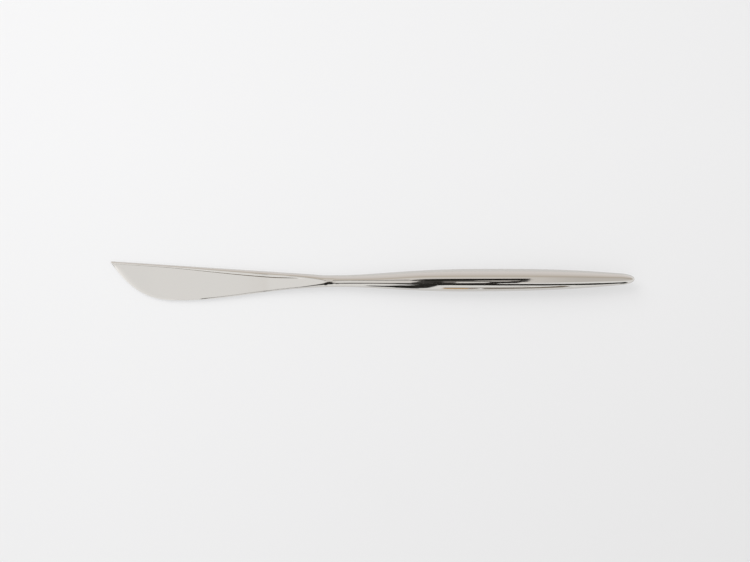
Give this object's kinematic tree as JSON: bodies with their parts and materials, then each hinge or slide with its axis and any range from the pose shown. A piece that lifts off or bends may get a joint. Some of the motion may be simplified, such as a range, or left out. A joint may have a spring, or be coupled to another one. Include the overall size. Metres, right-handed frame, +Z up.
{
  "type": "dinner knife",
  "caption": "Slim polished steel dinner knife with a leaf-shaped blade, a straight ridged spine, a round neck and a long spindle handle, for cutting food at table.",
  "frame": {"origin": "middle of the knife's bounding box at its underside, the knife lying on its right side", "axes": "+X along the handle's axis toward the tail, +Y toward the spine, +Z up, out of the blade's left side"},
  "size_m": [0.235, 0.0176, 0.0075],
  "materials": {
    "polished_steel": "polished",
    "cement": "matte"
  },
  "bodies": {
    "root": {"blade": "polished_steel", "handle_shell_left": "polished_steel", "handle_shell_right": "polished_steel", "tang_cement": "cement"}
  },
  "joints": []
}
